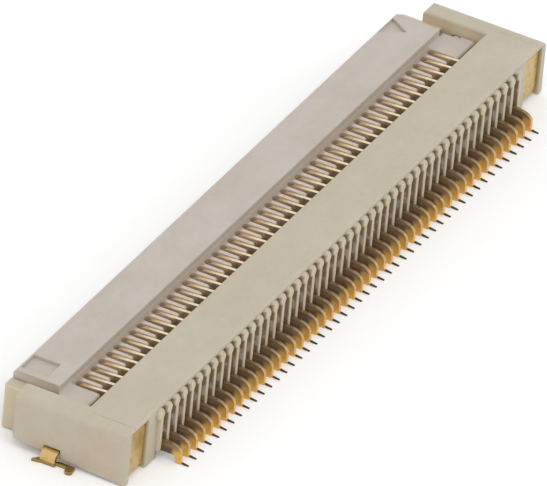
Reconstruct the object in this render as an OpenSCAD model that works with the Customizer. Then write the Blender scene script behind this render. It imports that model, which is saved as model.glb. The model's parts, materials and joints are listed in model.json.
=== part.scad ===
// Right-angle surface-mount connector for flat flexible cable, with a flip-lock flap.
// X runs along the row of contacts, the solder tails point to -Y, the cable enters from +Y,
// Z is up from the board and the origin is on the board under the middle of the connector.

/* [Contacts] */
// Number of contacts in the row
contact_count = 48; // [10:1:48]
// Distance from one contact to the next
pitch = 0.5; // [0.5:0.05:0.8]
// Thickness of the sheet the contacts are stamped from
contact_t = 0.13; // [0.1:0.01:0.15]
// How far the solder tails reach out from the rear wall, tip included
tail_reach = 1.09; // [0.95:0.01:1.6]
// Length of the small needle left on each tail where it was cut from its strip
needle_len = 0.27; // [0.15:0.01:0.4]
// Height of the tail's arm above the board at its highest
tail_rise = 0.66; // [0.6:0.01:0.8]
// Width of the needle left on each tail
needle_w = 0.06; // [0.05:0.01:0.1]
// Thickness of the hook that each contact curls over the flap's shaft
hook_t = 0.12; // [0.1:0.01:0.12]

/* [Housing] */
// Height of the housing's top above the board
body_h = 2.0; // [1.9:0.05:2.6]
// Clear height between the board and the underside of the housing
standoff = 0.05; // [0:0.01:0.1]
// Depth of the housing from its rear wall to its front lip
body_depth = 4.89; // [4.7:0.01:6]
// Width of the roof from the rear wall to the window
roof_w = 1.79; // [1.6:0.01:2.2]
// Depth of the end blocks from the rear wall to their front face
block_depth = 4.1; // [3.6:0.01:4.5]
// Thickness of each end block along the row
block_w = 0.8; // [0.75:0.01:1.2]
// Distance from the last contact to the inner face of the end block
end_margin = 1.45; // [1.4:0.01:2]
// Height of the floor's top, which the cable slides on, above the board
floor_top = 0.46; // [0.44:0.01:0.48]
// Height of the front side guides, which the flap rests on, above the board
guide_top = 1.5; // [1.4:0.01:1.54]
// Height of the rims on the guides, beside the flap's ends, above the board
rim_top = 1.58; // [1.5:0.01:1.62]
// How far the front of the guides is set back from the end faces
guide_inset = 0.77; // [0.6:0.01:0.79]
// Rise of the end blocks' underside from their rear to their front
end_rise = 0.29; // [0:0.01:0.32]
// Side clearance between a cable and the guides
cable_play = 0.1; // [0.05:0.01:0.15]
// Width of the slots that hold the contacts
slot_w = 0.2; // [0.17:0.01:0.22]
// Width of the comb ribs on the rear wall
comb_rib_w = 0.14; // [0.12:0.01:0.2]
// How far the comb ribs stand proud of the rear wall
comb_proud = 0.155; // [0.1:0.005:0.2]

/* [Flap] */
// Length of the flap along the row, past the outermost contacts at each end
flap_over = 0.94; // [0.8:0.01:1.0]
// Distance from the rear wall to the flap's front edge
flap_front = 4.86; // [4.6:0.01:5.8]
// Drop of the flap's top below the top of the end blocks
flap_drop = 0.1; // [0.05:0.01:0.15]
// Drop of the comb teeth below the top of the end blocks
tooth_drop = 0.42; // [0.4:0.01:0.45]
// Width of each comb tooth of the flap
tooth_w = 0.15; // [0.12:0.01:0.17]
// Gap between the tips of the teeth and the roof's edge
tooth_gap = 0.51; // [0.48:0.01:0.56]
// Gap between the flap's end tabs and the roof's edge
tab_gap = 0.34; // [0.3:0.01:0.4]
// Distance from the roof's edge to the round ends of the slots between the teeth
slot_reach = 1.33; // [1.3:0.01:1.4]
// Distance from the roof's edge to the flap's axis
axis_in = 1.03; // [1:0.01:1.05]
// Radius of the shaft under the contact arms
shaft_r = 0.11; // [0.1:0.01:0.12]
// Radius of the pins that turn in the end blocks
pin_r = 0.18; // [0.15:0.01:0.2]
// How far the pins reach into the end blocks
pin_len = 0.4; // [0.3:0.01:0.45]
// Clearance of the pins in their bores, and of the shaft under the hooks
pin_play = 0.03; // [0.02:0.005:0.04]
// Angle by which the flap is opened in this view
flap_open = 0; // [0:1:95]

/* [Hold-downs] */
// Width of the bent tongue of each hold-down
nail_w = 0.54; // [0.5:0.01:0.7]
// Thickness of the hold-down's sheet
nail_t = 0.12; // [0.1:0.01:0.15]
// How far the hold-down's tongue reaches out from the end face
nail_reach = 0.28; // [0.25:0.01:0.4]
// How far its blunt prong reaches out from the end face
prong_reach = 0.42; // [0.4:0.01:0.6]

/* [Hidden] */

housing_colour = [0.77, 0.73, 0.65];
flap_colour = [0.76, 0.73, 0.69];
contact_colour = [0.80, 0.66, 0.38];
nail_colour = [0.83, 0.68, 0.36];

// stations along Y, from the rear wall forwards
depth = body_depth + tail_reach;
rear_y = tail_reach - depth / 2;
lip_y = rear_y + body_depth;
window_y = rear_y + roof_w;
block_y = rear_y + block_depth;
flap_y = rear_y + flap_front;
slot_end_y = window_y + slot_reach;
wall_y = slot_end_y + 0.09;
guide_y = window_y + 1.6;
tooth_tip_y = window_y + tooth_gap;
tab_rear_y = window_y + tab_gap;
tooth_slot_r = (pitch - tooth_w) / 2;
pad_back_y = slot_end_y - tooth_slot_r - 0.025;

// stations along X, from the middle outwards
row_half = (contact_count - 1) * pitch / 2;
block_in_x = row_half + end_margin;
end_x = block_in_x + block_w;
flap_x = row_half + flap_over;
guide_x = row_half + pitch + cable_play;
rim_x = flap_x + 0.03;
cheek_x = end_x - guide_inset;

// axis of the flap
axis_y = window_y + axis_in;
axis_z = body_h - 0.67;

// levels
flap_top = body_h - flap_drop;
tooth_top = body_h - tooth_drop;
flap_base = guide_top + 0.03;
pad_z = floor_top + 0.34;
slot_floor = 0.3;
tail_top = tail_rise;
hook_r = shaft_r + pin_play;
arm_top = axis_z + hook_r + hook_t;
arm_rise = 0.06;
arm_under = axis_z - 0.03;
slot_top = arm_top + arm_rise + 0.06;
comb_top = body_h - 0.15;
comb_deep = 0.8;
tail_width = 0.2;
foot_y = rear_y - tail_reach + needle_len;

// rear recesses beside the comb
pocket_in = end_x - 1.35;
pocket_wall = 0.25;
pocket_depth = 0.22;

// hold-downs
nail_y = rear_y + 2.63;
nail_z = 0.47;
nail_leg_x = end_x - 0.42;
nail_leg_top = 1.0;
nail_root_y = rear_y + pocket_depth - nail_t - 0.01;
nail_root_base = 0.25;
nail_root_top = body_h - 0.3;
prong_t = 0.12;

// knobs at the heads of the comb ribs
knob_r = 0.2;

edge_r = 0.08;
soft_r = 0.1;
eps = 0.01;

function contact_x(i) = (i - 1) * pitch - row_half;

// n + 1 points on an arc about c, from angle a to angle b
function arc(c, r, a, b, n) =
    [for (i = [0:n]) c + r * [cos(a + (b - a) * i / n), sin(a + (b - a) * i / n)]];

// the same on an ellipse with half axes r[0] and r[1]
function oval(c, r, a, b, n) =
    [for (i = [0:n]) c + [r[0] * cos(a + (b - a) * i / n), r[1] * sin(a + (b - a) * i / n)]];

// extrudes a [y, z] outline along X between x0 and x1
module along_x(x0, x1) {
    translate([x0, 0, 0])
        rotate([90, 0, 90])
            linear_extrude(height = x1 - x0)
                children();
}

module box(x0, x1, y0, y1, z0, z1) {
    translate([x0, y0, z0])
        cube([x1 - x0, y1 - y0, z1 - z0]);
}

module both_ends() {
    children();
    mirror([1, 0, 0])
        children();
}

// ---------------------------------------------------------------- contacts

// the side view of a contact: tail, root, hooked upper arm and springy lower arm
module contact_outline() {
    root_y = rear_y + 0.12;
    throat_y = window_y - 0.55;
    throat_r = (arm_under - 0.55) / 2;
    touch_y = axis_y + 0.6;
    lower_tip_y = touch_y + 0.38;
    tail_bend_y = foot_y + 0.46;
    polygon(concat(
        // the sole of the foot
        [[foot_y + 0.02, 0], [foot_y + tail_width - 0.04, 0]],
        // up the back of the foot and along the underside
        arc([foot_y + tail_width + 0.12, slot_floor - 0.14], 0.12, 180, 90, 5),
        [[rear_y + 0.2, slot_floor - 0.02], [rear_y + 0.22, slot_floor]],
        // the lower arm, its touching point and its lead-in
        [[window_y - 0.2, slot_floor], [window_y, slot_floor + 0.05]],
        [[lower_tip_y, slot_floor + 0.08], [lower_tip_y + 0.04, slot_floor + 0.14]],
        arc([touch_y, 0.60], 0.15, 25, 155, 6),
        [[touch_y - 0.3, 0.55]],
        // the throat between the arms
        arc([throat_y, 0.55 + throat_r], throat_r, 270, 90, 10),
        // under the upper arm, round the shaft and back over the hook
        arc([axis_y, axis_z], hook_r, 191, -25, 10),
        arc([axis_y, axis_z], hook_r + hook_t, -30, 90, 8),
        [[window_y + 0.1, arm_top + arm_rise], [root_y + 0.3, arm_top + arm_rise + 0.02]],
        // the top and the rear edge of the root
        arc([root_y + 0.12, arm_top + arm_rise - 0.1], 0.12, 90, 180, 4),
        // down into the tail and over its bend
        arc([root_y - 0.1, tail_top + 0.14], 0.1, 0, -90, 4),
        oval([tail_bend_y, 0.36], [0.46, tail_top - 0.36], 90, 180, 8),
        // down the front of the foot
        [[foot_y, 0.03]]
    ));
}

// the side view of the needle at the toe of a contact's foot
module needle_outline() {
    polygon([
        [foot_y - needle_len, 0],
        [foot_y + 0.04, 0.02],
        [foot_y + 0.04, 0.15],
        [foot_y - 0.03, 0.07],
        [foot_y - needle_len, 0.03]
    ]);
}

module contact(i) {
    color(contact_colour)
        translate([contact_x(i), 0, 0]) {
            along_x(-contact_t / 2, contact_t / 2)
                contact_outline();
            along_x(-needle_w / 2, needle_w / 2)
                needle_outline();
        }
}

// ---------------------------------------------------------------- housing

// outline of the floor and the front side guides, seen from above, for the half at +X
module base_plan() {
    r = 0.12;
    polygon(concat(
        [[-eps, rear_y], [cheek_x, rear_y]],
        arc([cheek_x - r, lip_y - r], r, 0, 90, 4),
        [[-eps, lip_y]]
    ));
}

// side view of the roof block, with rounded upper edges
module roof_outline() {
    polygon(concat(
        [[rear_y, standoff], [window_y, standoff]],
        [[window_y, body_h - 0.04], [window_y - 0.04, body_h]],
        arc([rear_y + edge_r, body_h - edge_r], edge_r, 90, 180, 4)
    ));
}

// side view of an end block, whose underside rises towards its front
module block_outline() {
    r = 0.12;
    heel_r = 0.16;
    polygon(concat(
        [[rear_y, standoff]],
        arc([block_y - heel_r, standoff + end_rise + heel_r - 0.02], heel_r, -86, 0, 5),
        arc([block_y - r, body_h - r], r, 0, 90, 4),
        arc([rear_y + edge_r, body_h - edge_r], edge_r, 90, 180, 4)
    ));
}

// end view of an end block, which rounds its outer upper edge
module block_end_view() {
    r = 0.26;
    polygon(concat(
        [[block_in_x, standoff], [end_x, standoff]],
        arc([end_x - r, body_h - r], r, 0, 90, 5),
        arc([block_in_x + soft_r, body_h - soft_r], soft_r, 90, 180, 3)
    ));
}

// an end block seen from above, which rounds its front corner
module block_plan() {
    r = 0.14;
    polygon(concat(
        [[block_in_x, rear_y], [end_x, rear_y]],
        arc([end_x - r, block_y - r], r, 0, 90, 4),
        [[block_in_x, block_y]]
    ));
}

module end_block() {
    intersection() {
        along_x(block_in_x, end_x)
            block_outline();
        translate([0, lip_y, 0])
            rotate([90, 0, 0])
                linear_extrude(height = body_depth + eps)
                    block_end_view();
        translate([0, 0, standoff])
            linear_extrude(height = body_h)
                block_plan();
    }
}

// one slot from the rear wall to the lip that takes a contact
module contact_slot(x) {
    box(x - slot_w / 2, x + slot_w / 2, rear_y - eps, lip_y - 0.45, slot_floor, floor_top + 0.2);
    box(x - slot_w / 2, x + slot_w / 2, rear_y + 0.1, window_y + eps, slot_floor, slot_top);
}

// one rear comb opening with an arched top
module comb_opening(x) {
    w = (pitch - comb_rib_w) / 2;
    translate([0, rear_y + comb_deep, 0])
        rotate([90, 0, 0])
            linear_extrude(height = comb_deep + comb_proud + eps)
                polygon(concat(
                    [[x - w, 0.26], [x + w, 0.26]],
                    arc([x, comb_top - w], w, 0, 180, 8)
                ));
}

// the pads that carry the comb ribs
module rear_comb() {
    w = row_half + pitch / 2 + comb_rib_w / 2;
    along_x(-w, w)
        polygon(concat(
            [[rear_y + 0.02, 0.38], [rear_y + 0.02, comb_top]],
            arc([rear_y, comb_top - comb_proud], comb_proud, 90, 180, 5),
            arc([rear_y - comb_proud + 0.06, 0.44], 0.06, 180, 270, 3)
        ));
}

// blind bore in the inner face of an end block that the flap's pin turns in
module pin_bore() {
    translate([block_in_x - eps, axis_y, axis_z])
        rotate([0, 90, 0])
            cylinder(r = pin_r + pin_play, h = pin_len + pin_play + eps, $fn = 48);
}

module rear_pocket() {
    box(pocket_in, end_x - pocket_wall, rear_y - eps, rear_y + pocket_depth, standoff - eps, body_h - 0.14);
}

// notch under an end block that the hold-down comes out of, and the slot that grips its leg
module nail_cuts() {
    w = nail_w / 2;
    box(nail_leg_x, end_x + eps, nail_y - w - 0.02, nail_y + w + 0.02, standoff - eps, nail_z + 0.03);
    box(nail_leg_x, nail_leg_x + nail_t, rear_y + pocket_depth - eps, nail_y + w,
        nail_root_base, nail_leg_top + 0.02);
}

// the rounded knob at the head of a comb rib
module comb_knob(x) {
    translate([x, rear_y + 0.05, comb_top - 0.13])
        rotate([90, 0, 0]) {
            cylinder(r = knob_r, h = 0.05 + comb_proud - 0.06, $fn = 24);
            translate([0, 0, 0.05 + comb_proud - 0.06 - eps])
                cylinder(r1 = knob_r, r2 = knob_r - 0.06, h = 0.06 + eps, $fn = 24);
        }
}

module housing() {
    color(housing_colour) {
        housing_body();
        for (i = [0:contact_count])
            comb_knob(contact_x(i) + pitch / 2);
    }
}

module housing_body() {
    difference() {
        union() {
            along_x(-block_in_x - soft_r - eps, block_in_x + soft_r + eps)
                roof_outline();
            both_ends()
                end_block();
            // the floor with its front lip
            both_ends()
                translate([0, 0, standoff])
                    linear_extrude(height = floor_top - standoff)
                        base_plan();
            // the side guides beside the cable
            both_ends()
                intersection() {
                    translate([0, 0, standoff])
                        linear_extrude(height = guide_top - standoff)
                            base_plan();
                    box(guide_x, end_x, guide_y, lip_y, standoff, guide_top);
                }
            // the rims beside the flap's ends
            both_ends()
                intersection() {
                    translate([0, 0, standoff])
                        linear_extrude(height = rim_top - standoff)
                            base_plan();
                    box(rim_x, end_x, guide_y, lip_y, standoff, rim_top);
                }
            rear_comb();
        }
        for (i = [1:contact_count]) {
            contact_slot(contact_x(i));
            comb_opening(contact_x(i));
        }
        // the cable's way in under the roof
        box(-guide_x, guide_x, window_y - 0.75, window_y + eps, floor_top, 1.15);
        // the lead-in on the lip
        along_x(-guide_x, guide_x)
            polygon([[lip_y - 0.35, floor_top + eps], [lip_y + eps, floor_top + eps],
                     [lip_y + eps, floor_top - 0.15]]);
        // the open rear of the floor, under the comb
        box(-row_half - 0.2, row_half + 0.2, rear_y - eps, rear_y + 0.2, standoff - eps, 0.27);
        both_ends() {
            pin_bore();
            rear_pocket();
            nail_cuts();
        }
    }
}

// ---------------------------------------------------------------- flap

// side view of a comb tooth, with the cam that presses the cable when the flap is closed
module tooth_outline() {
    polygon(concat(
        [[tooth_tip_y + 0.05, tooth_top], [tooth_tip_y, tooth_top - 0.05]],
        [[tooth_tip_y, axis_z + 0.02]],
        arc([axis_y, axis_z], 0.3, 200, 270, 6),
        [[axis_y + 0.1, pad_z], [slot_end_y + 0.05, pad_z]],
        [[slot_end_y + 0.05, tooth_top]]
    ));
}

// side view of the plate of the flap, with a cove between its rear wall and the teeth
module plate_outline(base, back_y) {
    cove_r = 0.09;
    polygon(concat(
        [[back_y, base], [flap_y - 0.05, base], [flap_y, base + 0.05]],
        oval([flap_y - 0.18, flap_top - 0.14], [0.18, 0.14], 0, 90, 6),
        arc([wall_y + 0.05, flap_top - 0.05], 0.05, 90, 180, 3),
        arc([wall_y - cove_r, tooth_top + cove_r], cove_r, 0, -90, 5),
        [[back_y, tooth_top]]
    ));
}

// side view of the tab at each end of the flap
module tab_outline() {
    polygon(concat(
        [[tab_rear_y, axis_z + 0.02]],
        arc([axis_y, axis_z], 0.24, 215, 270, 4),
        [[slot_end_y, axis_z - 0.24], [slot_end_y + 0.1, axis_z - 0.1], [slot_end_y + 0.1, tooth_top]],
        [[tab_rear_y + 0.05, tooth_top], [tab_rear_y, tooth_top - 0.05]]
    ));
}

module flap_body() {
    tab_in = row_half + (pitch - tooth_w) / 2;
    tab_out = block_in_x - 0.06;
    difference() {
        union() {
            along_x(-flap_x, flap_x)
                plate_outline(flap_base, wall_y + 0.02);
            // the pressing pad under the plate, between the guides
            along_x(-guide_x + 0.1, guide_x - 0.1)
                plate_outline(pad_z, pad_back_y);
            for (i = [1:contact_count - 1])
                along_x(contact_x(i) + (pitch - tooth_w) / 2, contact_x(i) + (pitch + tooth_w) / 2)
                    tooth_outline();
            both_ends() {
                along_x(tab_in, guide_x - 0.1)
                    tab_outline();
                along_x(guide_x - 0.12, tab_out)
                    tab_outline();
            }
            // the shaft under the hooks
            translate([-tab_in - eps, axis_y, axis_z])
                rotate([0, 90, 0])
                    cylinder(r = shaft_r, h = 2 * (tab_in + eps), $fn = 32);
            // the pins in the end blocks
            both_ends()
                translate([tab_out - eps, axis_y, axis_z])
                    rotate([0, 90, 0])
                        cylinder(r = pin_r, h = block_in_x + pin_len - tab_out + eps, $fn = 48);
        }
        // step in the side of each tab, where the pin leaves it
        both_ends()
            difference() {
                box(tab_out - 0.14, tab_out + eps, axis_y - pin_r - 0.02, slot_end_y + 0.2,
                    axis_z - 0.5, tooth_top + eps);
                translate([tab_out - 0.2, axis_y, axis_z])
                    rotate([0, 90, 0])
                        cylinder(r = pin_r, h = 0.3, $fn = 48);
            }
        for (i = [1:contact_count])
            tooth_slot(contact_x(i));
        flap_marks();
    }
}

// the slot between two teeth that clears a contact's nose, with a round end
module tooth_slot(x) {
    r = tooth_slot_r;
    z = pad_z - eps;
    translate([x, slot_end_y - r, z])
        cylinder(r = r, h = tooth_top + eps - z, $fn = 24);
    box(x - r, x + r, slot_end_y - 2 * r, slot_end_y - r, z, tooth_top + eps);
}

// shallow marks in the top of the flap: a square at one end and a triangle for contact 48
module flap_marks() {
    mark = 0.12;
    z = flap_top - mark;
    box(-flap_x + 0.23, -flap_x + 1.1, flap_y - 1.09, flap_y - 0.13, z, flap_top + eps);
    translate([0, 0, z])
        linear_extrude(height = mark + eps)
            polygon([
                [flap_x - 1.34, flap_y - 0.08],
                [flap_x - 0.3, flap_y - 0.08],
                [flap_x - 0.8, flap_y - 0.86]
            ]);
}

module flap() {
    color(flap_colour)
        translate([0, axis_y, axis_z])
            rotate([flap_open, 0, 0])
                translate([0, -axis_y, -axis_z])
                    flap_body();
}

// ---------------------------------------------------------------- hold-downs

// seen along the row: a leg in the block that turns outwards and rolls down to the board
module nail_outline() {
    roll = [end_x, nail_z - nail_reach];
    polygon(concat(
        [[nail_leg_x + nail_t, nail_leg_top], [nail_leg_x + nail_t, nail_z + 0.02]],
        [[nail_leg_x + nail_t + 0.02, nail_z]],
        arc(roll, nail_reach, 90, 0, 8),
        [[end_x + nail_reach, 0], [end_x + nail_reach - nail_t, 0]],
        arc(roll, nail_reach - nail_t, 0, 90, 8),
        [[nail_leg_x + 0.1, nail_z - nail_t], [nail_leg_x, nail_z - nail_t + 0.1], [nail_leg_x, nail_leg_top]]
    ));
}

// the two prongs beside the tongue, seen from above: pointed in front, blunt behind
module nail_prongs() {
    x = end_x + nail_reach - nail_t;
    front = nail_y + nail_w / 2;
    back = nail_y - nail_w / 2;
    lobe = back - 0.52;
    polygon([[x, front - 0.2], [x - 0.04, front + 0.02], [x + 0.2, front + 0.24], [x + nail_t, front - 0.1]]);
    polygon(concat(
        [[x, back + 0.1], [x - 0.12, back - 0.04], [x - 0.12, lobe - 0.1]],
        arc([end_x + prong_reach - 0.13, lobe], 0.13, -110, 70, 8),
        [[x, lobe + 0.16], [x, back - 0.04], [x + nail_t, back + 0.1]]
    ));
}

module hold_down() {
    front = nail_y + nail_w / 2;
    root_h = nail_root_top - nail_root_base;
    union() {
        translate([0, front, 0])
            rotate([90, 0, 0])
                linear_extrude(height = nail_w)
                    nail_outline();
        linear_extrude(height = prong_t)
            nail_prongs();
        // the leg runs back through the block to a root that stands in the rear recess
        box(nail_leg_x, nail_leg_x + nail_t, nail_root_y, front, nail_z, nail_leg_top);
        translate([nail_leg_x, nail_root_y, nail_root_base])
            cube([nail_t, rear_y + pocket_depth - nail_root_y, root_h]);
        translate([pocket_in + 0.04, nail_root_y, nail_root_base])
            cube([nail_leg_x + nail_t - pocket_in - 0.04, nail_t, root_h]);
    }
}

module hold_down_right() {
    color(nail_colour)
        hold_down();
}

module hold_down_left() {
    color(nail_colour)
        mirror([1, 0, 0])
            hold_down();
}

housing();
flap();
hold_down_left();
hold_down_right();
for (i = [1:contact_count])
    contact(i);
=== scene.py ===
"""Dresses the flat cable connector: moulded housing and flap, plated contacts, hold-downs and stage."""

import json
from math import cos, pi, radians, sin

import bmesh
import bpy
from bpy.props import FloatProperty, FloatVectorProperty, PointerProperty
from mathutils import Matrix, Vector


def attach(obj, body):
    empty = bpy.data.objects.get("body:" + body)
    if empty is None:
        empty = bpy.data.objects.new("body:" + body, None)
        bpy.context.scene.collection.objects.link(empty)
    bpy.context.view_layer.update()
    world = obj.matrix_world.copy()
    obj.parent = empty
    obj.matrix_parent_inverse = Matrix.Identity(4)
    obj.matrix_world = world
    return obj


bl_info = {
    "name": "Flat Cable Connector",
    "version": (1, 0, 0),
    "blender": (4, 5, 0),
    "location": "View3D > Sidebar > Connector",
    "description": "Builds the looks of a flip-lock connector for flat flexible cable",
    "category": "Object",
}

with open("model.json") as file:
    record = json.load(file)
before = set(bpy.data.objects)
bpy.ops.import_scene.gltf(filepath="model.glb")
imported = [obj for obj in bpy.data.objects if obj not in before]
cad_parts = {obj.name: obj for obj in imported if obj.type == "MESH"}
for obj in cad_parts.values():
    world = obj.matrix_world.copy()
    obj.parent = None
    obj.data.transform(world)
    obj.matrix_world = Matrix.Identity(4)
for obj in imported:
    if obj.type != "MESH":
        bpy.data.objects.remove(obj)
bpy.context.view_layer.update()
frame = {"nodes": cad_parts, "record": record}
MM = 0.001

CONTACTS = sorted((n for n in frame["nodes"] if n.startswith("contact_")), key=lambda n: int(n.split("_")[1]))
HOLD_DOWNS = ("hold_down_left", "hold_down_right")
FLAP_HINGE = next(j for j in frame["record"]["behaviour"]["joints"] if j["name"] == "flap_hinge")


# ------------------------------------------------------------------ measures

PITCH = 0.5 * MM
SHEET = 0.13 * MM
SHAFT_RADIUS = 0.109 * MM
SHAFT_SEGMENTS = 24

# The tails bend down in a quarter of an oval: where it starts along Y, its reach, its drop, and the
# height at which it ends, in millimetres.
BEND_START, BEND_REACH, BEND_DROP, BEND_END = -2.26, 0.46, 0.30, 0.36

# Regions of the pieces that take a tone of their own, most of them places of painted light or
# painted shade. A fade is an axis and two places along it, in millimetres: none at the first, full at
# the second. A region has one fade or several. The axis "ends" runs from the middle of the row of
# contacts out to either end.
BELOW_ROOF = ("z", 1.88, 1.84)
RECESS = (
    ("ends", 12.62, 12.64), ("ends", 13.78, 13.76), BELOW_ROOF, ("y", -1.50, -1.54), ("y", -1.885, -1.80)
)
END_FACE = (("ends", 13.93, 13.98), ("z", 1.95, 1.70))
CHEEK = (("y", 2.22, 2.26), ("ends", 13.1, 13.2))
SIDE_WALL = (("ends", 13.24, 13.21), ("ends", 13.15, 13.19), ("z", 1.96, 1.75), ("y", -0.3, -0.1))
KNOBS = (("y", -1.93, -1.98), ("ends", 12.20, 12.15), BELOW_ROOF)
COMB_SLOTS = (("ends", 12.05, 12.00), BELOW_ROOF, ("y", -0.6, -0.7), ("y", -2.05, -2.00))
SLOT_SHEEN = (("z", 1.30, 1.18), ("z", 0.78, 0.90))
PARTING_STEP = (("ends", 13.52, 13.55), ("y", -0.2, -0.6))

WALL_HEIGHT = (("z", 1.86, 1.76), ("z", 1.60, 1.66))
FLAP_WALL = (("y", 1.355, 1.33), *WALL_HEIGHT)
FLAP_ENDS = (("ends", 12.60, 12.66), *WALL_HEIGHT)
FLAP_COMB = (("z", 1.66, 1.60), ("ends", 11.95, 11.90))
TEETH = (*FLAP_COMB, ("y", 1.12, 1.00))
NOOK = (*FLAP_COMB, ("y", 1.06, 1.17), ("y", 1.33, 1.27))
TOOTH_GAPS = (("z", 1.57, 1.50), ("y", 1.30, 1.25))
DEEP_GAPS = (("z", 1.50, 1.36), ("y", 1.20, 1.12))

NEEDLE = ("y", -2.73, -2.77)
ARM = ("y", -0.9, -0.6)
INNER_ARM = (("y", 0.42, 0.32), ARM)
HOLD_DOWN_ROOT = ("y", -1.2, -1.5)
PRONGS = ("z", 0.16, 0.11)

# Fades of the contacts' tones, in millimetres: the plating on the feet, whose edges wander a little with its
# wear;
# the pale painted highlight on the arms, which gives way to tan painted shade toward their tips and wanders
# too;
# and the painted shade that deepens below the tops of the tails.
WANDER = 0.22
FOOT_START = (-2.34, -2.50)
FOOT_TOP = (0.60, 0.34)
ARM_TIP = (0.35, 0.95)
TAIL_DEPTH = (0.10, 0.26)

# The tints of a moulding, each over the ones before it: where, how strong, and in which tone. Each
# is painted light or painted shade.
HOUSING_TINTS = (
    (CHEEK, 0.45, "painted_warm_light"),
    (SIDE_WALL, 0.75, "painted_warm_light"),
    (KNOBS, 0.40, "painted_warm_light"),
    (RECESS, 0.85, "painted_amber_glow"),
)
FLAP_TINTS = (
    (TEETH, 0.70, "painted_tooth_light"),
    (NOOK, 0.62, "depth"),
    (TOOTH_GAPS, 0.15, "painted_warm_light"),
    (DEEP_GAPS, 0.85, "depth"),
    (FLAP_WALL, 0.12, "housing"),
    (FLAP_ENDS, 0.35, "painted_warm_light"),
)

# The stage, in metres. A lamp has a name, a place, the width of its disk and its share of the power.
FLOOR_REACH = 0.6
FLOOR_GLOW = 0.12
LAMPS = (
    ("overhead lamp", (-0.135, -0.135, 0.355), 0.32, 1.0),
    ("side lamp", (0.30, -0.21, 0.15), 0.08, 0.12),
)
SENSOR_WIDTH = 36.0
CLIP_START, CLIP_END = 0.01, 5.0
CAMERA_TURN, CAMERA_HEIGHT, CAMERA_ROLL = radians(-64.467), radians(33.121), radians(5.542)
# The view is centred on a place in millimetres, moved this far to the camera's right and up.
VIEW_PLACE = Vector((0, -0.095, 0.05))
VIEW_RIGHT, VIEW_UP = -0.401, 0.786


# ------------------------------------------------------------------ settings


def linear(red, green, blue):
    """The linear colour of a screen colour given as 0 to 255."""
    return tuple(((c / 255 + 0.055) / 1.055) ** 2.4 for c in (red, green, blue))


def colour_setting(name, description, colour):
    return FloatVectorProperty(
        name=name, description=description, subtype="COLOR", size=3, min=0, max=1, default=colour
    )


def length_setting(name, description, millimetres):
    return FloatProperty(
        name=name, description=description, default=millimetres * MM, min=0, precision=6, unit="LENGTH"
    )


class PlasticSettings(bpy.types.PropertyGroup):
    housing: colour_setting("Housing", "Colour of the housing's resin", linear(198, 190, 171))
    housing_shade: colour_setting("Housing clouding", "Second tone of the resin", linear(192, 180, 159))
    flap: colour_setting("Flap", "Colour of the flap's resin", linear(200, 191, 181))
    flap_shade: colour_setting("Flap clouding", "Second tone of the flap's resin", linear(192, 180, 168))
    # Painted light: an amber glow laid on the walls of the end recesses.
    painted_amber_glow: colour_setting("Recess tint", "Amber tint of the end recesses", linear(196, 170, 112))
    # Painted shade: a pinker, darker tone laid on the housing's end faces, mottled at random.
    painted_end_shade: colour_setting("End blush", "Warmer tone of the housing's end faces", linear(200, 178, 156))
    # Painted light: a paler tone laid on the flap's teeth below the plate.
    painted_tooth_light: colour_setting("Tooth tops", "Paler tone of the flap's rubbed teeth", linear(216, 202, 190))
    # Painted light: a warm, paler tone laid on the cheeks, the inner side walls, the knobs, the flap's ends
    # and the gaps between the teeth.
    painted_warm_light: colour_setting("Thin walls", "Warm tone of the mouldings' thin walls", linear(226, 206, 172))
    depth: colour_setting("Slot shade", "Tone deep in the slots of both combs", linear(150, 130, 106))
    edge: length_setting("Edge radius", "Softness of the moulded edges", 0.05)
    grain: length_setting("Grain", "Size of the moulded surface grain", 0.05)


class MetalSettings(bpy.types.PropertyGroup):
    gold: colour_setting("Gold", "Plating on the soldered feet", linear(230, 184, 104))
    sheet: colour_setting("Hold-down gold", "Plating on the hold-downs", linear(212, 180, 120))
    ochre: colour_setting("Ochre", "Dull gold on the hold-downs' roots", linear(204, 178, 116))
    # Painted sheen: flecks of grey nickel laid into the painted shade between the comb's ribs.
    painted_nickel_sheen: colour_setting("Grey plating", "Nickel that shows between the comb's ribs", linear(212, 208, 202))
    # The pale tone is a painted highlight on the hooked arms near the roof; the tan below it is painted shade
    # toward their tips.
    pale: colour_setting("Pale gold", "Plating on the tops of the hooked arms", linear(238, 222, 186))
    tan: colour_setting("Tan", "Thinner plating at the ends of the hooked arms", linear(190, 160, 118))
    neck: colour_setting("Neck", "Thin plating along the tops of the tails", linear(156, 134, 104))
    # The tails' sides are dull, and this darker tone is partly painted shade for the narrow gaps between the
    # tails.
    side: colour_setting("Tail side", "Dull flat sides of the tails", linear(150, 124, 90))
    flank: colour_setting("Arm side", "Flat sides of the hooked arms", linear(222, 192, 158))
    # Also laid low on the tails' sides and on the arms' sides near the teeth as painted shade.
    bare_alloy_and_painted_shade: colour_setting("Bare alloy", "Cut ends left without plating", linear(84, 68, 48))
    edge: length_setting("Edge radius", "Softness of the stamped edges", 0.02)


class StageSettings(bpy.types.PropertyGroup):
    floor: colour_setting("Floor", "Colour of the floor and backdrop", (0.95, 0.95, 0.95))
    distance: FloatProperty(
        name="Distance", description="Camera distance", default=0.71994, min=0.05, unit="LENGTH"
    )
    lens: FloatProperty(
        name="Lens", description="Focal length in millimetres", default=1486.3, min=10, unit="CAMERA"
    )
    key: FloatProperty(
        name="Overhead lamp", description="Power of the soft overhead lamp", default=0.46, min=0, unit="POWER"
    )
    world: FloatProperty(
        name="World", description="Strength of the even light all round", default=0.74, min=0
    )


class ConnectorSettings(bpy.types.PropertyGroup):
    plastic: PointerProperty(type=PlasticSettings)
    metal: PointerProperty(type=MetalSettings)
    stage: PointerProperty(type=StageSettings)


def settings():
    return bpy.context.scene.connector


# ------------------------------------------------------------------ materials


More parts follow.
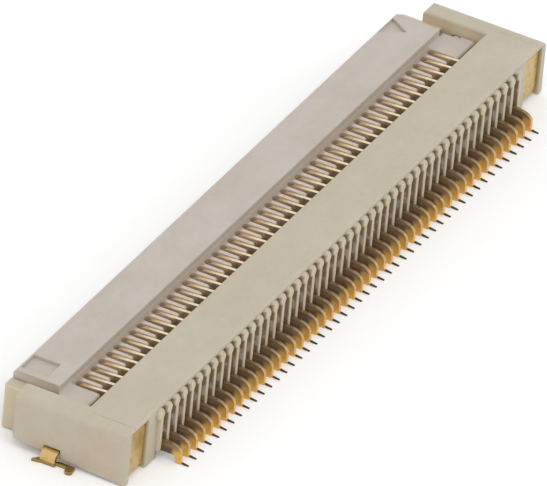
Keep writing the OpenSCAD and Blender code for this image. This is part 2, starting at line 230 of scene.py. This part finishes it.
class Nodes:
    """Adds nodes to the tree of one material or world, and wires them."""

    def __init__(self, owner):
        owner.use_nodes = True
        self.owner = owner
        self.tree = owner.node_tree
        self.tree.nodes.clear()
        self.places = {}

    def add(self, kind, **values):
        node = self.tree.nodes.new(kind)
        for key, value in values.items():
            setattr(node, key, value)
        return node

    def set(self, socket, value):
        if isinstance(value, bpy.types.NodeSocket):
            self.tree.links.new(value, socket)
        elif socket.type == "RGBA" and len(value) == 3:
            socket.default_value = (*value, 1.0)
        else:
            socket.default_value = value

    def wired(self, kind, **inputs):
        """A node with its inputs set or linked; their names have underscores for spaces."""
        node = self.add(kind)
        for key, value in inputs.items():
            self.set(node.inputs[key.replace("_", " ")], value)
        return node

    def math(self, operation, *values):
        node = self.add("ShaderNodeMath", operation=operation)
        for socket, value in zip(node.inputs, values):
            self.set(socket, value)
        return node.outputs[0]

    def product(self, first, *others):
        for other in others:
            first = self.math("MULTIPLY", first, other)
        return first

    def place(self):
        """The place on the piece, in metres."""
        if "all" not in self.places:
            self.places["all"] = self.add("ShaderNodeTexCoord").outputs["Object"]
        return self.places["all"]

    def along(self, axis):
        """The place along x, y, z or ends, in metres."""
        if axis not in self.places:
            if axis == "ends":
                self.places["ends"] = self.math("ABSOLUTE", self.along("x"))
            else:
                split = self.wired("ShaderNodeSeparateXYZ", Vector=self.place())
                self.places.update(zip("xyz", split.outputs))
        return self.places[axis]

    def ramp(self, value, low, high, out_low=0.0, out_high=1.0):
        """A smooth step of value between low and high."""
        node = self.add("ShaderNodeMapRange", interpolation_type="SMOOTHSTEP", clamp=True)
        for socket, given in zip(node.inputs, (value, low, high, out_low, out_high)):
            self.set(socket, given)
        return node.outputs[0]

    def fade(self, value, low, high):
        """A smooth step between two places in millimetres."""
        return self.ramp(value, low * MM, high * MM)

    def within(self, *fades):
        """How far a point lies in a region: the product of its fades."""
        return self.product(*(self.fade(self.along(axis), low, high) for axis, low, high in fades))

    def noise(self, size, detail=3.0, rough=0.5, stretch=(1, 1, 1), seed=0.0):
        """Noise with features of about size metres, stretched along the axes."""
        mapping = self.wired(
            "ShaderNodeMapping", Vector=self.place(),
            Location=(seed, seed * 0.7, seed * 1.3), Scale=[1 / (size * s) for s in stretch],
        )
        noise = self.wired(
            "ShaderNodeTexNoise", Vector=mapping.outputs[0], Scale=1.0, Detail=detail, Roughness=rough
        )
        return noise.outputs["Fac"]

    def patches(self, low, high, **noise):
        """Soft-edged patches: none where the noise is under low, full where it is over high."""
        return self.ramp(self.noise(**noise), low, high)

    def mix(self, factor, a, b):
        """A mix of two colours, which are the node's seventh and eighth inputs."""
        node = self.add("ShaderNodeMix", data_type="RGBA")
        for index, value in ((0, factor), (6, a), (7, b)):
            self.set(node.inputs[index], value)
        return node.outputs[2]

    def tint(self, tone, mask, share, colour):
        """The tone, with a share of another colour where the mask is full."""
        return self.mix(self.math("MULTIPLY", mask, share), tone, colour)

    def soft_edges(self, radius, samples):
        node = self.wired("ShaderNodeBevel", Radius=radius)
        node.samples = samples
        return node.outputs[0]

    def bump(self, height, distance, strength, normal):
        node = self.wired(
            "ShaderNodeBump", Height=height, Distance=distance, Strength=strength, Normal=normal
        )
        return node.outputs[0]

    def seen_plainly(self):
        """One for the rays that show the white backdrop: seen, reflected or passed through."""
        rays = self.add("ShaderNodeLightPath").outputs
        seen = self.math("MAXIMUM", rays["Is Camera Ray"], rays["Is Glossy Ray"])
        return self.math("MAXIMUM", seen, rays["Is Transmission Ray"])

    def shader(self, **inputs):
        """The material, with its main shader's inputs set or linked."""
        node = self.wired("ShaderNodeBsdfPrincipled", **inputs)
        self.tree.links.new(node.outputs[0], self.add("ShaderNodeOutputMaterial").inputs["Surface"])
        return self.owner


def new_material(name):
    return Nodes(bpy.data.materials.new(name))


def scaled(colour, factor):
    return [min(1.0, c * factor) for c in colour]


def moulded_plastic(name, colour, shade, painted_light, step=None):
    """Glass-filled resin: clouded colour, faint flow marks, fine grain and a soft satin."""
    plastic = settings().plastic
    nodes = new_material(name)
    clouds = nodes.patches(0.35, 0.65, size=2.2 * MM, rough=0.6)
    flow = nodes.patches(0.3, 0.7, size=0.7 * MM, detail=4.0, rough=0.6, stretch=(2.5, 1, 1), seed=4.0)
    pale = nodes.patches(0.52, 0.72, size=0.30 * MM, rough=0.65, seed=11.0)
    specks = nodes.patches(0.60, 0.74, size=0.12 * MM, detail=2.0, rough=0.6, seed=9.0)
    tone = nodes.tint(colour, clouds, 0.55, shade)
    tone = nodes.tint(tone, flow, 0.20, scaled(shade, 0.84))
    tone = nodes.tint(tone, pale, 0.18, scaled(colour, 1.12))
    tone = nodes.tint(tone, specks, 0.16, scaled(shade, 0.66))
    normal = nodes.soft_edges(plastic.edge, samples=6)
    coarse = nodes.noise(size=plastic.grain * 9, rough=0.55, seed=3.0)
    normal = nodes.bump(coarse, distance=0.016 * MM, strength=0.6, normal=normal)
    fine = nodes.noise(size=plastic.grain, rough=0.6)
    normal = nodes.bump(fine, distance=0.005 * MM, strength=0.7, normal=normal)
    if step is not None:
        normal = nodes.bump(nodes.within(*step), distance=0.03 * MM, strength=1.0, normal=normal)
    satin = nodes.noise(size=plastic.grain * 4, detail=2.0, seed=7.0)
    return nodes.shader(
        Base_Color=painted_light(nodes, tone), Roughness=nodes.ramp(satin, 0.3, 0.7, 0.48, 0.64), Normal=normal,
        IOR=1.5, Specular_IOR_Level=0.35,
        Subsurface_Weight=0.25, Subsurface_Radius=(1.0, 0.7, 0.35), Subsurface_Scale=0.25 * MM,
    )


def tinted(nodes, tone, tints):
    plastic = settings().plastic
    for region, share, colour in tints:
        tone = nodes.tint(tone, nodes.within(*region), share, getattr(plastic, colour))
    return tone


def housing_painted_light(nodes, tone):
    """Painted pinker shade on the end faces, mottled at random; a painted amber glow in the end recesses;
    painted warm light on the cheeks, the inner side walls and the knobs; and painted shade in the comb's
    slots, flecked with a painted grey sheen of nickel.
    """
    plastic = settings().plastic
    # painted shade on the end faces, broken up by random mottling
    mottle = nodes.patches(0.35, 0.65, size=1.2 * MM, rough=0.6, seed=17.0)
    painted_end_shade = nodes.mix(mottle, plastic.painted_end_shade, plastic.housing)
    tone = nodes.tint(tone, nodes.within(*END_FACE), 0.55, painted_end_shade)
    # painted warm light on the cheeks, side walls and knobs, and a painted amber glow in the end recesses
    tone = tinted(nodes, tone, HOUSING_TINTS)
    # painted shade in the comb's slots, flecked with a painted grey sheen of nickel
    flecks = nodes.patches(0.42, 0.58, size=0.20 * MM, detail=2.0, stretch=(2, 1, 2), seed=15.0)
    sheen = nodes.product(nodes.within(*SLOT_SHEEN), flecks)
    shade = nodes.tint(plastic.depth, sheen, 0.75, settings().metal.painted_nickel_sheen)
    return nodes.tint(tone, nodes.within(*COMB_SLOTS), 0.92, shade)


def flap_painted_light(nodes, tone):
    """Painted light on the teeth below the plate, painted shade in the nook and deep between the teeth,
    painted warm light on the flap's ends and on the gaps between the teeth, and a faint painted shade in the
    housing's tone on the flap's wall.
    """
    return tinted(nodes, tone, FLAP_TINTS)


def contact_metal(name):
    """Spring alloy with gold on the feet, a pale painted highlight on the arms that turns to tan painted
    shade toward their tips, and dull brown flat sides whose darkness is partly painted shade, deepening below
    the tops of the tails and on the arms' sides near the teeth.
    """
    metal = settings().metal
    nodes = new_material(name)
    x, y, z = (nodes.along(axis) for axis in "xyz")
    wear = nodes.noise(size=0.18 * MM, rough=0.6, seed=2.0)
    streak = nodes.noise(size=0.05 * MM, detail=2.0, stretch=(4, 1, 4), seed=6.0)
    wander = nodes.math("MULTIPLY", nodes.math("SUBTRACT", wear, 0.5), WANDER * MM)
    wandering_y = nodes.math("ADD", y, wander)
    wandering_z = nodes.math("MULTIPLY_ADD", wander, 0.4, z)
    # how far a point lies from the middle of its contact tells the stamped edge from the flat sides
    offset = nodes.math("PINGPONG", nodes.math("ADD", x, PITCH * 100.5), PITCH / 2)
    side = nodes.ramp(offset, SHEET * 0.40, SHEET * 0.48)
    arm = nodes.within(ARM)
    foot = nodes.product(nodes.fade(wandering_y, *FOOT_START), nodes.fade(wandering_z, *FOOT_TOP))
    tip = nodes.fade(wandering_y, *ARM_TIP)
    top = nodes.mix(foot, metal.neck, metal.gold)
    # on the arms, a pale painted highlight near the roof gives way to tan painted shade toward their tips
    top = nodes.mix(arm, top, nodes.mix(tip, metal.pale, metal.tan))
    # painted shade on the tails' sides, deeper below their tops
    painted_tail_shade = nodes.fade(depth_in_tail(nodes, y, z), *TAIL_DEPTH)
    flank = nodes.mix(foot, nodes.tint(metal.side, painted_tail_shade, 0.7, metal.bare_alloy_and_painted_shade), metal.gold)
    flank = nodes.mix(arm, flank, metal.flank)
    # painted shade on the arms' sides near the tips of the teeth
    flank = nodes.tint(flank, nodes.within(*INNER_ARM), 0.47, metal.bare_alloy_and_painted_shade)
    tone = nodes.mix(side, top, flank)
    tone = nodes.mix(nodes.within(NEEDLE), tone, metal.bare_alloy_and_painted_shade)
    tone = nodes.tint(tone, nodes.ramp(wear, 0.5, 0.8), 0.25, metal.bare_alloy_and_painted_shade)
    # the flat sides are dull and faintly banded, the plated edges shine
    dull = nodes.math("MULTIPLY", side, nodes.math("SUBTRACT", 1.0, foot))
    bands = nodes.patches(0.40, 0.62, size=0.11 * MM, detail=2.0, stretch=(3, 7, 1), seed=21.0)
    tone = nodes.tint(tone, nodes.product(bands, dull), 0.35, metal.bare_alloy_and_painted_shade)
    metallic = nodes.math("MULTIPLY_ADD", dull, -0.6, 1.0)
    rough = nodes.math("MULTIPLY_ADD", dull, 0.15, nodes.ramp(streak, 0.3, 0.7, 0.30, 0.48))
    return nodes.shader(
        Base_Color=tone, Metallic=metallic, Roughness=rough, Normal=brushed(nodes, streak, metal.edge)
    )


def depth_in_tail(nodes, y, z):
    """How far a point lies below the top of the tail, in metres."""
    bend = nodes.math("MULTIPLY_ADD", y, 1 / (BEND_REACH * MM), -BEND_START / BEND_REACH)
    bend = nodes.math("MINIMUM", nodes.math("MAXIMUM", bend, -1.0), 0.0)
    drop = nodes.math("SQRT", nodes.math("SUBTRACT", 1.0, nodes.math("MULTIPLY", bend, bend)))
    return nodes.math("SUBTRACT", nodes.math("MULTIPLY_ADD", drop, BEND_DROP * MM, BEND_END * MM), z)


def brushed(nodes, streak, edge):
    """Fine streaks from rolling the strip, over softened edges."""
    return nodes.bump(streak, distance=0.003 * MM, strength=0.6, normal=nodes.soft_edges(edge, samples=4))


def hold_down_metal(name):
    """Gold-plated sheet, duller on the root in the end recess and darker along the prongs."""
    metal = settings().metal
    nodes = new_material(name)
    wear = nodes.patches(0.45, 0.8, size=0.22 * MM, rough=0.6, seed=5.0)
    streak = nodes.noise(size=0.05 * MM, detail=2.0, stretch=(4, 4, 1), seed=8.0)
    tone = nodes.mix(nodes.within(HOLD_DOWN_ROOT), metal.sheet, metal.ochre)
    tone = nodes.tint(tone, nodes.within(PRONGS), 0.55, metal.bare_alloy_and_painted_shade)
    tone = nodes.tint(tone, wear, 0.4, metal.bare_alloy_and_painted_shade)
    rough = nodes.ramp(streak, 0.3, 0.7, 0.28, 0.42)
    return nodes.shader(
        Base_Color=tone, Metallic=1.0, Roughness=rough, Normal=brushed(nodes, streak, metal.edge)
    )


# ------------------------------------------------------------------ pieces


def dress(node, material):
    piece = frame["nodes"][node]
    piece.data.materials.clear()
    piece.data.materials.append(material)


def new_piece(name, work):
    """An object at the origin with the mesh that was worked on."""
    mesh = bpy.data.meshes.new(name)
    work.to_mesh(mesh)
    work.free()
    piece = bpy.data.objects.new(name, mesh)
    bpy.context.scene.collection.objects.link(piece)
    return piece


class CONNECTOR_OT_housing(bpy.types.Operator):
    """Dress the moulded housing with its end blocks, roof, comb and floor"""

    bl_idname = "connector.housing"
    bl_label = "Housing"

    def execute(self, context):
        plastic = settings().plastic
        material = moulded_plastic(
            "housing plastic", plastic.housing, plastic.housing_shade, housing_painted_light, PARTING_STEP
        )
        dress("housing", material)
        return {"FINISHED"}


class CONNECTOR_OT_flap(bpy.types.Operator):
    """Dress the flip-lock flap with its comb of teeth"""

    bl_idname = "connector.flap"
    bl_label = "Flap"

    def execute(self, context):
        plastic = settings().plastic
        material = moulded_plastic("flap plastic", plastic.flap, plastic.flap_shade, flap_painted_light)
        dress("flap", material)
        return {"FINISHED"}


class CONNECTOR_OT_shaft(bpy.types.Operator):
    """Make the round shaft that runs through the flap's teeth, under the hooks of the contacts"""

    bl_idname = "connector.shaft"
    bl_label = "Shaft"

    def execute(self, context):
        work = bmesh.new()
        bmesh.ops.create_cone(
            work, cap_ends=True, segments=SHAFT_SEGMENTS, radius1=SHAFT_RADIUS, radius2=SHAFT_RADIUS,
            depth=len(CONTACTS) * PITCH,
            matrix=Matrix.Translation(FLAP_HINGE["pos_m"]) @ Matrix.Rotation(pi / 2, 4, "Y"),
        )
        shaft = new_piece("flap_shaft", work)
        for face in shaft.data.polygons:
            face.use_smooth = len(face.vertices) == 4
        shaft.data.materials.append(bpy.data.materials["flap plastic"])
        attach(shaft, "lock")
        return {"FINISHED"}


class CONNECTOR_OT_contacts(bpy.types.Operator):
    """Dress the row of spring contacts"""

    bl_idname = "connector.contacts"
    bl_label = "Contacts"

    def execute(self, context):
        material = contact_metal("contact metal")
        for node in CONTACTS:
            dress(node, material)
        return {"FINISHED"}


class CONNECTOR_OT_hold_downs(bpy.types.Operator):
    """Dress the two hold-downs at the ends"""

    bl_idname = "connector.hold_downs"
    bl_label = "Hold-downs"

    def execute(self, context):
        material = hold_down_metal("hold-down metal")
        for node in HOLD_DOWNS:
            dress(node, material)
        return {"FINISHED"}


# ------------------------------------------------------------------ stage


class CONNECTOR_OT_stage(bpy.types.Operator):
    """Make the floor, the lamps, the world and the camera"""

    bl_idname = "connector.stage"
    bl_label = "Stage"

    def execute(self, context):
        stage = settings().stage
        make_floor(stage)
        make_lamps(stage)
        make_world(stage)
        make_camera(stage)
        context.scene.view_settings.view_transform = "Standard"
        return {"FINISHED"}


def make_floor(stage):
    work = bmesh.new()
    bmesh.ops.create_grid(work, x_segments=1, y_segments=1, size=FLOOR_REACH)
    floor = new_piece("floor", work)
    nodes = new_material("floor paper")
    tone = nodes.mix(nodes.noise(size=4 * MM, detail=2.0), stage.floor, scaled(stage.floor, 0.99))
    floor.data.materials.append(
        nodes.shader(
            Base_Color=tone, Roughness=0.9, Specular_IOR_Level=0.1, Emission_Color=(1.0, 1.0, 1.0),
            Emission_Strength=nodes.math("MULTIPLY", nodes.seen_plainly(), FLOOR_GLOW),
        )
    )


def make_lamps(stage):
    for name, place, width, share in LAMPS:
        data = bpy.data.lights.new(name, "AREA")
        data.shape = "DISK"
        data.size = width
        data.energy = share * stage.key
        lamp = bpy.data.objects.new(name, data)
        lamp.location = place
        lamp.rotation_euler = Vector(place).to_track_quat("Z", "Y").to_euler()
        bpy.context.scene.collection.objects.link(lamp)


def make_world(stage):
    """Even light on the object, in front of a backdrop that is seen as white."""
    nodes = Nodes(bpy.data.worlds.new("even light"))
    strength = nodes.math("MULTIPLY_ADD", nodes.seen_plainly(), 1.0 - stage.world, stage.world)
    background = nodes.wired("ShaderNodeBackground", Color=(1.0, 1.0, 1.0), Strength=strength)
    nodes.tree.links.new(background.outputs[0], nodes.add("ShaderNodeOutputWorld").inputs["Surface"])
    bpy.context.scene.world = nodes.owner


def make_camera(stage):
    data = bpy.data.cameras.new("camera")
    data.lens = stage.lens
    data.sensor_width = SENSOR_WIDTH
    data.clip_start = CLIP_START
    data.clip_end = CLIP_END
    camera = bpy.data.objects.new("camera", data)
    right, up, away, centre = view_axes()
    rotation = Matrix((right, up, away)).transposed()
    camera.matrix_world = Matrix.LocRotScale(centre + away * stage.distance, rotation.to_quaternion(), None)
    bpy.context.scene.collection.objects.link(camera)
    bpy.context.scene.camera = camera


def view_axes():
    """The camera's right and up, the direction to it, and the point at the centre of its view."""
    level = cos(CAMERA_HEIGHT)
    away = Vector((sin(CAMERA_TURN) * level, -cos(CAMERA_TURN) * level, sin(CAMERA_HEIGHT)))
    right = (-away).cross(Vector((0, 0, 1))).normalized()
    up = right.cross(-away)
    rolled_right = right * cos(CAMERA_ROLL) + up * sin(CAMERA_ROLL)
    rolled_up = up * cos(CAMERA_ROLL) - right * sin(CAMERA_ROLL)
    centre = (rolled_right * VIEW_RIGHT + rolled_up * VIEW_UP + VIEW_PLACE) * MM
    return rolled_right, rolled_up, away, centre


# ------------------------------------------------------------------ panel

OPERATORS = (
    CONNECTOR_OT_housing,
    CONNECTOR_OT_flap,
    CONNECTOR_OT_shaft,
    CONNECTOR_OT_contacts,
    CONNECTOR_OT_hold_downs,
    CONNECTOR_OT_stage,
)


class CONNECTOR_PT_sidebar(bpy.types.Panel):
    """The connector's pieces, in the order in which they are made"""

    bl_idname = "CONNECTOR_PT_sidebar"
    bl_label = "Connector"
    bl_space_type = "VIEW_3D"
    bl_region_type = "UI"
    bl_category = "Connector"

    def draw(self, context):
        for operator in OPERATORS:
            self.layout.operator(operator.bl_idname)
        for group in ("plastic", "metal", "stage"):
            box = self.layout.box()
            values = getattr(context.scene.connector, group)
            for name in values.__annotations__:
                box.prop(values, name)


CLASSES = (
    PlasticSettings,
    MetalSettings,
    StageSettings,
    ConnectorSettings,
    *OPERATORS,
    CONNECTOR_PT_sidebar,
)


def register():
    for cls in CLASSES:
        bpy.utils.register_class(cls)
    bpy.types.Scene.connector = PointerProperty(type=ConnectorSettings)


def unregister():
    del bpy.types.Scene.connector
    for cls in reversed(CLASSES):
        bpy.utils.unregister_class(cls)


def main():
    register()
    bpy.ops.connector.housing()
    bpy.ops.connector.flap()
    bpy.ops.connector.shaft()
    bpy.ops.connector.contacts()
    bpy.ops.connector.hold_downs()
    bpy.ops.connector.stage()


if __name__ == "__main__":
    main()
